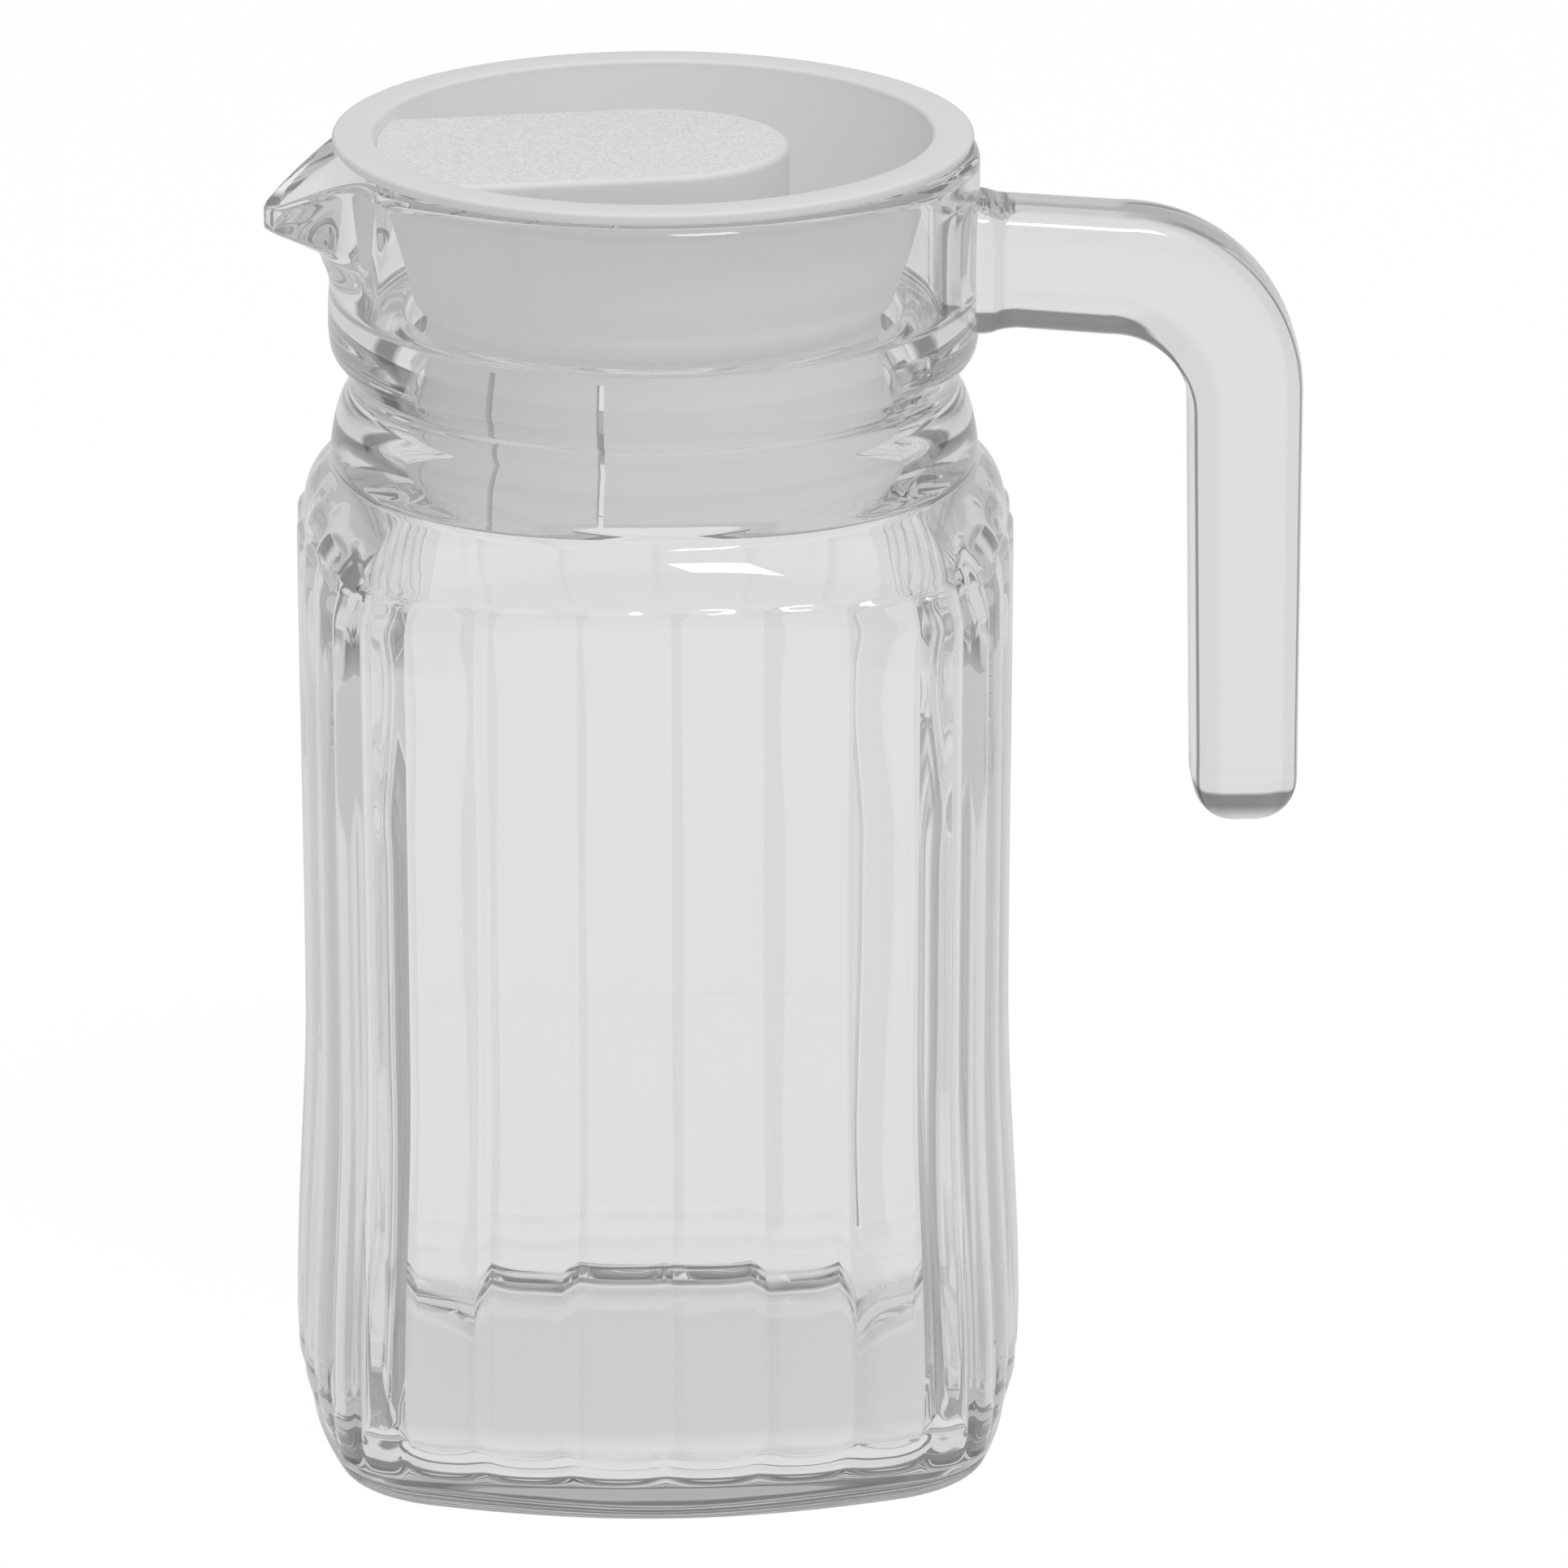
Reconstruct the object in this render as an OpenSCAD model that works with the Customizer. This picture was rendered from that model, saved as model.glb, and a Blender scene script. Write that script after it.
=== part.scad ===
// Fluted square glass pitcher with a pouring lip, a hook handle and a lift-out lid.
// Millimetres. The origin is the middle of the resting face, +Z is up,
// the pouring lip points along -X and the handle stands at +X.

/* [Glass body] */
// Width over the flutes, from one side to the opposite one, under the shoulder
body_w = 84.8; // [76:0.2:96]
// Radius of the outward bulge of each side, seen from above
side_r = 125; // [100:5:300]
// Radius of the four upright corners
corner_r = 12; // [9:1:18]
// Height of the flute tops above the resting face
flute_top = 113.5; // [90:0.5:150]
// Height of the plain foot under the flutes
foot_h = 4.8; // [4:0.2:9]
// Width of the flat resting face
foot_w = 78; // [66:0.5:79]
// How far the sides swell out above the foot, on each side
base_swell = 1.5; // [0.2:0.1:2.5]
// Height at which that swelling is widest
swell_z = 13; // [9:0.5:20]
// Height at which the sides are narrowest
waist_z = 55; // [40:1:75]
// Width of one flute
flute_pitch = 11.1; // [9.5:0.1:11.8]
// How far a flute stands out beyond the grooves beside it
flute_relief = 0.8; // [0.3:0.1:1.2]
// Thickness of the side walls under the flutes
wall_t = 3.4; // [2.5:0.1:5]
// Thickness of the glass floor
base_t = 4.6; // [3.4:0.2:9]
// Radius where the cavity's floor turns up into its walls
cavity_round = 7; // [4:0.5:10]

/* [Neck and collar] */
// Height of the shoulder, from the flute tops to the neck ring
shoulder_h = 6; // [5:0.5:12]
// Radius of the smooth neck ring at its foot
neck_ring_r = 38.4; // [37:0.1:40]
// Height of the neck ring
neck_ring_h = 7.5; // [4:0.1:9]
// Radius at the bottom of the groove between neck ring and collar
groove_r = 36; // [34.5:0.1:37]
// Height of that groove
groove_h = 6.2; // [5:0.2:8]
// Outer radius of the collar
collar_r = 38.3; // [37.5:0.1:40]
// Height of the collar, from the groove to the rim
collar_h = 24.1; // [22:0.1:32]
// Inner radius of the collar
chamber_r = 34; // [33.8:0.1:34.6]
// Radius of the neck bore that the lid's skirt slides into
bore_r = 28.9; // [28.9:0.1:30]
// Length of the neck bore
bore_l = 8; // [5:0.5:11]
// How much of the collar's height the lid's chamber takes
chamber_depth = 18.4; // [18:0.1:21]
// Rounding of the glass rim
rim_round = 1.5; // [0.8:0.1:1.8]

/* [Pouring lip] */
// Reach of the lip beyond the collar
lip_reach = 7.4; // [4:0.2:10]
// Angle from the lip's middle to where it leaves the collar
lip_angle = 27; // [22:1:34]
// How far the lip's upper edge falls below the rim at its tip
lip_drop = 6.8; // [3:0.2:9]
// Height of the lip's edge at its tip
lip_edge_h = 2.8; // [2:0.1:4]
// Height of the flare under the lip's edge
lip_flare_h = 5.2; // [4:0.2:8]
// Glass thickness at the tip of the lip
lip_t = 1.7; // [1.2:0.1:2.4]

/* [Handle] */
// Height of the handle's arm
arm_h = 14.4; // [12:0.2:16]
// Depth of the handle, from front to back
handle_d = 13.6; // [11:0.2:16]
// Width of the upright grip under the bend, seen from the front
grip_w = 13.4; // [11:0.2:15]
// Width of the grip at its free end, above the rounding
grip_end_w = 12.6; // [10:0.2:15]
// Distance from the pitcher's axis to the outer face of the grip
grip_out = 76.5; // [70:0.5:85]
// Distance from the rim down to the top of the arm, at the collar
arm_below_rim = 7.2; // [5:0.1:9]
// How far the arm falls from the collar to the bend
arm_fall = 0.9; // [0:0.1:3]
// Height of the grip's rounded free end above the resting face
grip_end_z = 73.6; // [55:0.2:90]
// Radius inside the handle's bend
bend_inner_r = 9.6; // [5:0.2:12]
// Radius outside the handle's bend
bend_outer_r = 21.6; // [17:0.2:26]
// Fullness of the handle's section: 2 is round, more is squarer
section_power = 5; // [2:0.2:6]
// Thickness of the fused pad where the arm meets the collar
pad_t = 1.3; // [0.8:0.1:2.5]
// How far the pad stands out round the arm
pad_out = 0.6; // [0.4:0.1:1.8]
// How deep the hot pad sank into the collar
weld_depth = 1.4; // [1:0.1:2]

/* [Lid] */
// Outer radius of the lid's rim
lid_rim_r = 37.6; // [36.5:0.1:38.2]
// Thickness of the lid's rim
lid_rim_t = 1.5; // [1.2:0.1:2.5]
// Radius of the recess in the lid's top
recess_r = 32.7; // [32:0.1:32.8]
// Wall thickness of the lid
lid_t = 1.3; // [1:0.1:1.6]
// Outer radius of the lid's cup at its foot, before the rounding
cup_low_r = 28.6; // [27.9:0.1:29.4]
// Radius of the rounding at the foot of the cup
cup_round = 3.6; // [2:0.2:4.4]
// Depth of the cup below the rim's underside
cup_h = 19.2; // [17.5:0.1:20]
// How far the sealing side of the cup stands out beyond its pouring side
seal_step = 0.5; // [0.2:0.1:0.6]
// Half angle of the pouring side of the cup
pour_angle = 52; // [46:1:60]
// Outer radius of the slotted skirt where it leaves the cup
skirt_top_r = 26.7; // [26:0.1:27.6]
// Outer radius of the slotted skirt at its lower edge
skirt_low_r = 28.6; // [28:0.1:28.6]
// Height of the slotted skirt
skirt_h = 18; // [12:0.5:22]
// Number of pouring slots
slot_count = 6; // [4:2:6]
// Angle between neighbouring slots
slot_pitch = 27.4; // [22:0.2:28]
// Width of a slot
slot_w = 0.8; // [0.6:0.1:1.6]
// Width of the grip bar across the recess
bar_w = 32; // [26:0.5:36]
// Depth of the grip bar's top below the rim
bar_below = 1.4; // [0.8:0.1:4]
// How far the lid is turned in the neck
lid_turn = 8; // [0:1:30]

/* [Fits] */
// Gap between the glass rim and the lid's rim
seat_gap = 0.25; // [0.2:0.05:0.4]

/* [Hidden] */

// Cuts run this far past the faces that they open
over = 1;

// Heights of the stacked zones
ring_z = flute_top + shoulder_h;
groove_z = ring_z + neck_ring_h;
collar_z = groove_z + groove_h;
rim_z = collar_z + collar_h;
ledge_z = rim_z - chamber_depth;
lid_z = rim_z + seat_gap;
lid_top = lid_z + lid_rim_t;

// Half widths of the body, measured in the grooves
half_w = body_w / 2;
groove_half = half_w - flute_relief;
// The sides draw in a little at the waist
waist_in = 0.25;

// Flutes on each side and round each corner, and the places of the surface points
// across a flute
flutes_a_side = 6;
flutes_a_corner = 2;
point_shares = [0, 0.3, 0.7];
// A flute's crown is flat in its middle and falls to the grooves
crown_power = 2.6;
// The relief runs out over this height at both ends of a flute
flute_fade = 1.6;
flute_arch = 0.9;

function mix(a, b, t) = a + (b - a) * t;
function limit(t) = max(0, min(1, t));
function ease(t) = (1 - cos(180 * limit(t))) / 2;
function crown(t) = 1 - pow(abs(2 * t - 1), crown_power);

// Rounded square with bulged sides, as a distance from the axis in the direction a
side_in = side_r - half_w;
corner_gap = side_r - corner_r;
corner_c = (sqrt(2 * corner_gap * corner_gap - side_in * side_in) - side_in) / 2;
corner_at = atan2(side_r * corner_c / corner_gap,
                  side_r * (corner_c + side_in) / corner_gap - side_in);
function fold(a) = let (b = a - 90 * round(a / 90)) abs(b);
function side_at(b) = sqrt(side_r * side_r - pow(side_in * sin(b), 2)) - side_in * cos(b);
function corner_out(b) = corner_c * (cos(b) + sin(b))
    + sqrt(corner_r * corner_r - pow(corner_c * (cos(b) - sin(b)), 2));
function square_share(a) = let (b = fold(a)) (b < corner_at ? side_at(b) : corner_out(b)) / half_w;

// Directions of the surface points: the flutes of each side and then those of its corner
function groove_angle(k) = atan(k * flute_pitch / half_w);
half_flutes = flutes_a_side / 2;
corner_span = 90 - 2 * groove_angle(half_flutes);
// Each entry is [direction, place across its flute]
function side_points(side) = [
    for (k = [-half_flutes : half_flutes - 1], t = point_shares)
        [90 * side + groove_angle(k + t), t],
    for (k = [0 : flutes_a_corner - 1], t = point_shares)
        [90 * side + groove_angle(half_flutes) + corner_span * (k + t) / flutes_a_corner, t]
];
skin_points = [for (side = [0 : 3]) each side_points(side)];

// Half width of the sides at a height, measured in the grooves
function side_line(z) = groove_half
    + base_swell * ease((waist_z - z) / (waist_z - swell_z))
    - waist_in * ease((flute_top - z) / (flute_top - waist_z))
    - base_swell * pow(limit((swell_z - z) / (swell_z - foot_h)), 2) / 2;

// Pouring lip: how far the collar is drawn out in the direction a, from 0 to 1
function lip_share(a) = let (b = abs(a - 180) / lip_angle)
    b < 1 ? pow(1 - b, 1.45) : 0;

// Each level of the outer skin is [height, half width, squareness, share of the lip]
foot_out = side_line(foot_h) - foot_w / 2;
foot_turns = [0, 35, 62, 90];
// The resting face is rounder than the body above it
foot_square_share = 0.5;
foot_levels = [for (t = foot_turns)
    [foot_h * (1 - cos(t)), foot_w / 2 + foot_out * sin(t), mix(foot_square_share, 1, sin(t)), 0]];
fluted_zs = [foot_h + flute_fade, swell_z, mix(swell_z, waist_z, 0.35), mix(swell_z, waist_z, 0.7),
             waist_z, mix(waist_z, flute_top, 0.5), flute_top - 4 * flute_fade,
             flute_top - 2 * flute_fade, flute_top - flute_fade, flute_top - flute_fade / 2];
// The body starts to round off towards the shoulder just below the flute tops
function body_square(z) = 1 - 0.15 * limit((z - flute_top + 3 * flute_fade) / (3 * flute_fade));
fluted_levels = [for (z = fluted_zs) [z, side_line(z), body_square(z), 0]];
// Shoulder: shares of its height, of its width and of its squareness
shoulder_shares = [[0, 1, 0.85], [0.28, 0.92, 0.66], [0.54, 0.74, 0.43], [0.76, 0.46, 0.22],
                   [0.91, 0.18, 0.08], [1, 0, 0]];
shoulder_levels = [for (s = shoulder_shares)
    [flute_top + shoulder_h * s[0],
     mix(neck_ring_r, side_line(flute_top), s[1]), s[2], 0]];
// Neck ring and groove: shares of their heights and of their depths
ring_top_r = mix(neck_ring_r, groove_r, 0.62);
ring_shares = [[0.5, 0.45], [1, 1]];
groove_shares = [[0.18, 0.28], [0.4, 0], [0.62, 0.1], [0.84, 0.5]];
ring_levels = [for (s = ring_shares)
    [ring_z + neck_ring_h * s[0], mix(neck_ring_r, ring_top_r, s[1]), 0, 0]];
groove_levels = [for (s = groove_shares)
    [groove_z + groove_h * s[0],
     mix(groove_r, s[0] < 0.4 ? ring_top_r : collar_r, s[1]), 0, 0]];
collar_foot = 2.2;
tip_z = rim_z - lip_drop - lip_edge_h;
lip_foot_z = tip_z - lip_flare_h;
// The lip's flare: shares of its height and of its reach
flare_shares = [[0, 0], [0.36, 0.1], [0.62, 0.2], [0.83, 0.43], [0.94, 0.74], [1, 1]];
collar_levels = [
    [collar_z, collar_r - 0.6 * flute_relief, 0, 0],
    [collar_z + collar_foot, collar_r, 0, 0],
    for (s = flare_shares) [lip_foot_z + lip_flare_h * s[0], collar_r, 0, s[1]]
];
rim_turns = [0, 45, 90];
rim_levels = [for (t = rim_turns)
    [rim_z - rim_round * (1 - sin(t)), collar_r - rim_round * (1 - cos(t)), 0, 1]];
outer_levels = concat(foot_levels, fluted_levels, shoulder_levels, ring_levels,
                      groove_levels, collar_levels, rim_levels);

// Share of the flute relief at a height, lower towards the grooves so that each end is an arch
function relief_at(z, t) = let (bend = flute_arch * pow(abs(2 * t - 1), 2))
    ease((flute_top - bend - z) / flute_fade) * ease((z - foot_h - bend) / flute_fade);

// The rim dips towards the tip, so the levels above the lip's edge draw closer together there
lip_squeeze = lip_drop / (lip_drop + lip_edge_h);
function dipped(z, a) = z <= tip_z ? z : tip_z + (z - tip_z) * (1 - lip_share(a) * lip_squeeze);

function skin_point(level, p) = let (
    z = level[0],
    r = mix(level[1], level[1] * square_share(p[0]), level[2])
        + flute_relief * crown(p[1]) * relief_at(z, p[1])
        + lip_reach * lip_share(p[0]) * level[3])
    [r * cos(p[0]), r * sin(p[0]), dipped(z, p[0])];

// A closed solid through rings of points, with a point in the middle of each end
module through_rings(rings, first, last_point) {
    n = len(rings[0]);
    last = len(rings) - 1;
    points = [for (ring = rings) each ring];
    low = len(points);
    sides = [for (k = [0 : last - 1], i = [0 : n - 1]) let (j = (i + 1) % n) each [
        [k * n + i, (k + 1) * n + i, (k + 1) * n + j],
        [k * n + i, (k + 1) * n + j, k * n + j]]];
    ends = [for (i = [0 : n - 1]) let (j = (i + 1) % n) each [
        [low, i, j],
        [low + 1, last * n + j, last * n + i]]];
    polyhedron(concat(points, [first, last_point]), concat(sides, ends), convexity = 8);
}

module outer_skin() {
    through_rings([for (level = outer_levels) [for (p = skin_points) skin_point(level, p)]],
                  [0, 0, 0], [0, 0, rim_z]);
}

// The cavity: the outer walls drawn in by the wall thickness, up to the neck bore
cavity_sides = 56;
cavity_w = groove_half - wall_t;
bore_z = ledge_z - bore_l;
floor_turns = [0, 30, 60, 90];
floor_levels = [for (t = floor_turns)
    [base_t + cavity_round * (1 - cos(t)),
     side_line(swell_z) - wall_t - cavity_round * (1 - sin(t)), 1]];
inner_low = flute_top - cavity_round;
tall_zs = [mix(swell_z, waist_z, 0.5), waist_z, inner_low];
tall_levels = [for (z = tall_zs) [z, side_line(z) - wall_t, 1]];
neck_in_r = groove_r - wall_t;
// Inner shoulder: shares of the height up to the neck, of the width and of the squareness
inner_shares = [[0.3, 0.92, 0.85], [0.55, 0.68, 0.6], [0.78, 0.33, 0.28], [1, 0, 0]];
inner_levels = [for (s = inner_shares)
    [mix(inner_low, ring_z + neck_ring_h / 2, s[0]), mix(neck_in_r, cavity_w, s[1]), s[2]]];
neck_levels = [
    [mix(ring_z + neck_ring_h / 2, bore_z, 0.6), mix(bore_r, neck_in_r, 0.75), 0],
    [bore_z, bore_r - over / 10, 0],
    [bore_z + over, bore_r - over / 2, 0]
];
cavity_levels = concat(floor_levels, tall_levels, inner_levels, neck_levels);

module cavity() {
    through_rings([for (level = cavity_levels) [for (i = [0 : cavity_sides - 1]) let (
        a = 360 * (i + 0.5) / cavity_sides,
        r = level[1] * mix(1, square_share(a), level[2]))
        [r * cos(a), r * sin(a), level[0]]]],
        [0, 0, base_t], [0, 0, bore_z + over]);
}

// The channel of the pouring lip, open at the top and falling away towards the collar
tip_x = collar_r + lip_reach;
channel_root_w = 2 * chamber_r * sin(0.62 * lip_angle);
module lip_channel() {
    tip_round = 1.6 * lip_t;
    root_x = chamber_r * cos(lip_angle);
    hull() {
        translate([-(tip_x - lip_t - tip_round), 0, tip_z + lip_edge_h / 2])
            cylinder(h = rim_z - tip_z, r = tip_round, $fn = 24);
        translate([-root_x, -channel_root_w / 2, tip_z - lip_flare_h / 2])
            cube([over, channel_root_w, rim_z - tip_z + lip_flare_h]);
    }
}

// Handle: cross-sections along its path, each spanned from the inner to the outer edge
arm_top = rim_z - arm_below_rim;
arm_z = arm_top - arm_h;
grip_in = grip_out - grip_w;
inner_bend = [grip_in - bend_inner_r, arm_z - arm_fall - bend_inner_r];
outer_bend = [grip_out - bend_outer_r, arm_top - arm_fall - bend_outer_r];
grip_dome = grip_end_w / 2;
handle_points = 24;
bend_turns = [0 : 15 : 90];
// The pad: places as shares of its thickness, and shares of how far it stands out
pad_shares = [[0.5, 1], [1, 0.75], [1.8, 0.25], [3.4, 0]];
root_x = collar_r - weld_depth;
// Each station is [inner edge, outer edge, depth], the edges as [x, z]
function arm_station(x, out) = [[x, arm_z - out], [x, arm_top + out], handle_d + 2 * out];
function bend_station(a) = [
    inner_bend + bend_inner_r * [sin(a), cos(a)],
    outer_bend + bend_outer_r * [sin(a), cos(a)], handle_d];
function dome_station(a) = let (
    mid = grip_out - grip_end_w / 2, z = grip_end_z + grip_dome * (1 - sin(a)))
    [[mid - grip_end_w / 2 * cos(a), z], [mid + grip_end_w / 2 * cos(a), z], handle_d * cos(a)];
handle_stations = concat(
    [arm_station(root_x, pad_out)],
    [for (s = pad_shares) arm_station(collar_r + pad_t * s[0], pad_out * s[1])],
    [for (a = bend_turns) bend_station(a)],
    [for (a = [0, 25, 47, 65, 78, 86]) dome_station(a)]);

// Flattened round section: the power sets how full its corners are
function full(c) = sign(c) * pow(abs(c), 2 / section_power);
function handle_ring(station) = let (
    mid = (station[0] + station[1]) / 2,
    half = (station[1] - station[0]) / 2)
    [for (i = [0 : handle_points - 1]) let (
        a = 360 * (i + 0.5) / handle_points,
        p = mid + half * full(cos(a)))
        [p[0], -station[2] / 2 * full(sin(a)), p[1]]];

module glass_body() {
    color([0.86, 0.9, 0.9, 0.45]) difference() {
        outer_skin();
        cavity();
        translate([0, 0, bore_z]) cylinder(h = bore_l + over, r = bore_r, $fn = 128);
        translate([0, 0, ledge_z]) cylinder(h = chamber_depth + over, r = chamber_r, $fn = 128);
        lip_channel();
    }
}

module handle() {
    color([0.84, 0.88, 0.88, 0.6])
        through_rings([for (station = handle_stations) handle_ring(station)],
                      [root_x, 0, arm_top - arm_h / 2],
                      [grip_out - grip_end_w / 2, 0, grip_end_z]);
}

// The lid's cup: its wall runs down and inwards from the rim and turns into a flat floor
cup_z = lid_z - cup_h;
cup_top_r = recess_r + lid_t / 2;
cup_floor_z = cup_z + lid_t;
round_turns = [0, 30, 60, 90];
// Outline of the cup from its floor up to the rim, moved inwards by t
function cup_edge(t) = [for (a = round_turns)
    [cup_low_r - cup_round + (cup_round - t) * sin(a), cup_z + cup_round - (cup_round - t) * cos(a)]];

module cup_shell() {
    rotate_extrude($fn = 128) polygon(concat(
        [[0, cup_z]], cup_edge(0),
        [[cup_top_r - lid_t / 4, lid_z], [lid_rim_r, lid_z],
         [lid_rim_r, lid_top - lid_t / 4], [lid_rim_r - lid_t / 4, lid_top],
         [recess_r, lid_top], [recess_r - lid_t / 2, lid_top - lid_t / 2]],
        [for (i = [len(round_turns) - 1 : -1 : 0]) cup_edge(lid_t)[i]],
        [[0, cup_floor_z]]));
}

// The space that the cup's wall encloses, reaching below the floor
module cup_inside(t) {
    rotate_extrude($fn = 128) polygon(concat(
        [[0, cup_z - over], [cup_low_r - cup_round, cup_z - over]], cup_edge(t),
        [[recess_r - lid_t / 2, lid_top - lid_t / 2], [0, lid_top - lid_t / 2]]));
}

// The sealing side of the cup stands out a little, all round but for the pouring side
module seal_band() {
    rise = cup_top_r - lid_t / 4 - cup_low_r;
    rotate([0, 0, 180 + pour_angle]) rotate_extrude(angle = 360 - 2 * pour_angle, $fn = 128)
        polygon([[cup_low_r - lid_t / 2, cup_z + cup_round],
                 [cup_low_r + seal_step / 2, cup_z + cup_round],
                 [cup_low_r + seal_step + rise / 2, mix(cup_z + cup_round, lid_z, 0.5)],
                 [cup_low_r + rise + seal_step / 2, lid_z + lid_rim_t / 3],
                 [cup_low_r + rise - lid_t / 2, lid_z + lid_rim_t / 3]]);
}

// The slotted skirt flares towards its lower edge, so that it springs against the neck bore
skirt_z = cup_z - skirt_h;
module skirt() {
    rotate_extrude($fn = 128) polygon([
        [skirt_top_r - lid_t, cup_z + lid_t / 2], [skirt_top_r, cup_z + lid_t / 2],
        [skirt_top_r, cup_z - lid_t], [skirt_low_r, skirt_z + lid_t],
        [skirt_low_r, skirt_z], [skirt_low_r - lid_t, skirt_z],
        [skirt_top_r - lid_t, cup_z - lid_t]]);
}

module bar_outline(w) {
    circle(d = w, $fn = 96);
    translate([-lid_rim_r, -w / 2]) square([lid_rim_r, w]);
}

bar_top = lid_top - bar_below;
module grip_bar() {
    intersection() {
        translate([0, 0, cup_floor_z - lid_t / 2])
            linear_extrude(bar_top - cup_floor_z + lid_t / 2) bar_outline(bar_w);
        cup_inside(lid_t / 2);
    }
}

// The bar is hollow and open below, like the rest of the moulding; the cup's wall is
// a shade thicker inside it
bar_wall_share = 1.1;
module bar_hollow() {
    intersection() {
        translate([0, 0, cup_z - over])
            linear_extrude(bar_top - lid_t - cup_z + over) bar_outline(bar_w - 2 * lid_t);
        cup_inside(bar_wall_share * lid_t);
    }
}

module slots() {
    for (i = [0 : slot_count - 1])
        rotate([0, 0, 180 + slot_pitch * (i - (slot_count - 1) / 2)])
            translate([skirt_top_r - 2 * lid_t, -slot_w / 2, skirt_z - over])
                cube([3 * lid_t + over, slot_w, skirt_h + over - 1.5 * lid_t]);
}

module lid() {
    color([0.82, 0.83, 0.83]) rotate([0, 0, lid_turn]) difference() {
        union() {
            cup_shell();
            seal_band();
            skirt();
            grip_bar();
        }
        bar_hollow();
        slots();
    }
}

glass_body();
handle();
lid();
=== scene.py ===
import math

import bmesh
import bpy
import numpy as np
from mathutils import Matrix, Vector, noise


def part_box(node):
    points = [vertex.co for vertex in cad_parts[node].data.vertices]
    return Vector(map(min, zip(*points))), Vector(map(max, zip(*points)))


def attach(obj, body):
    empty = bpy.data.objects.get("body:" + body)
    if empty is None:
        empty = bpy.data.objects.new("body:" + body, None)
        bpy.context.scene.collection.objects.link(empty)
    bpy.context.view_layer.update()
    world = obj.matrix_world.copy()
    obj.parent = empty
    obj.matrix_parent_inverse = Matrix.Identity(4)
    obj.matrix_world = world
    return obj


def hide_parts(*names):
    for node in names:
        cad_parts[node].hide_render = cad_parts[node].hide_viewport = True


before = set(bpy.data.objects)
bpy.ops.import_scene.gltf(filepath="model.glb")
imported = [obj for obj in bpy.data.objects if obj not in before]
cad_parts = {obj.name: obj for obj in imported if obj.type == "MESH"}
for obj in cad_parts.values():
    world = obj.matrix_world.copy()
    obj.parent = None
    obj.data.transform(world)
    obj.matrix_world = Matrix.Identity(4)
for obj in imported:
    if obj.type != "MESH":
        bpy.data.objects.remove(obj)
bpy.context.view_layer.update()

mm = 0.001

# Camera
# A long lens from slightly above, a little to the left of the square front. Its distance and
# target come from fitting the jug's outline, in a photograph of 1932 x 1932 pixels.
photo_px = 1932
focal_px = 13411
camera_turn = math.radians(-2)
camera_height = math.radians(18.25)
camera_distance = 1.300
camera_target = Vector((0.01533, 0, 0.07828))

camera_data = bpy.data.cameras.new("camera")
camera_data.angle = 2 * math.atan(photo_px / 2 / focal_px)
camera = bpy.data.objects.new("camera", camera_data)
bpy.context.scene.collection.objects.link(camera)
camera_back = Vector((math.sin(camera_turn) * math.cos(camera_height),
                      -math.cos(camera_turn) * math.cos(camera_height),
                      math.sin(camera_height)))
camera.location = camera_target + camera_distance * camera_back
camera.rotation_mode = "QUATERNION"
camera.rotation_quaternion = (-camera_back).to_track_quat("-Z", "Y")
bpy.context.scene.camera = camera
bpy.context.scene.view_settings.view_transform = "Standard"


# Studio
# A white table and background, soft light from all sides and strongest from above, and grey
# cards behind the table, which give clear glass its dark edges.
def linear(hex_colour):
    """An sRGB hex colour, such as "e4e6e6", as linear red, green, blue and alpha."""
    parts = [int(hex_colour[i:i + 2], 16) / 255 for i in (0, 2, 4)]
    return [c / 12.92 if c <= 0.04045 else ((c + 0.055) / 1.055) ** 2.4 for c in parts] + [1]


def add(tree, kind, inputs=None, **settings):
    """A new node with its settings, its input values and its links."""
    made = tree.nodes.new(kind)
    for name, value in settings.items():
        setattr(made, name, value)
    for name, value in (inputs or {}).items():
        if isinstance(value, bpy.types.NodeSocket):
            tree.links.new(value, made.inputs[name])
        else:
            made.inputs[name].default_value = value
    return made


def ramp(tree, factor, stops):
    """A colour ramp through (position, hex colour) stops."""
    made = add(tree, "ShaderNodeValToRGB", {"Fac": factor})
    points = made.color_ramp.elements
    while len(points) < len(stops):
        points.new(0.5)
    for point, (position, colour) in zip(points, stops):
        point.position = position
        point.color = linear(colour)
    return made.outputs["Color"]


world = bpy.data.worlds.new("studio")
bpy.context.scene.world = world
world.use_nodes = True
sky = world.node_tree
sky.nodes.clear()
direction = add(sky, "ShaderNodeTexCoord").outputs["Generated"]
heading = add(sky, "ShaderNodeSeparateXYZ", {"Vector": direction})
# Height above the horizon as a share: 0 straight down, 0.5 level, 1 straight up
height_share = add(sky, "ShaderNodeMapRange", {"Value": heading.outputs["Z"], "From Min": -1.0,
                                               "From Max": 1.0}).outputs["Result"]
soft_light = ramp(sky, height_share, [
    (0.00, "6c6c6c"), (0.50, "aeaeae"), (0.75, "cccccc"), (1.00, "f6f6f6")])
# What shows through the glass: the white table, a dark wall just above it and a pale ceiling
through_glass = ramp(sky, height_share, [
    (0.000, "e3e3e3"), (0.535, "e3e3e3"), (0.565, "848484"), (0.680, "848484"), (0.800, "c4c4c4"),
    (1.000, "f4f4f4")])
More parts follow.
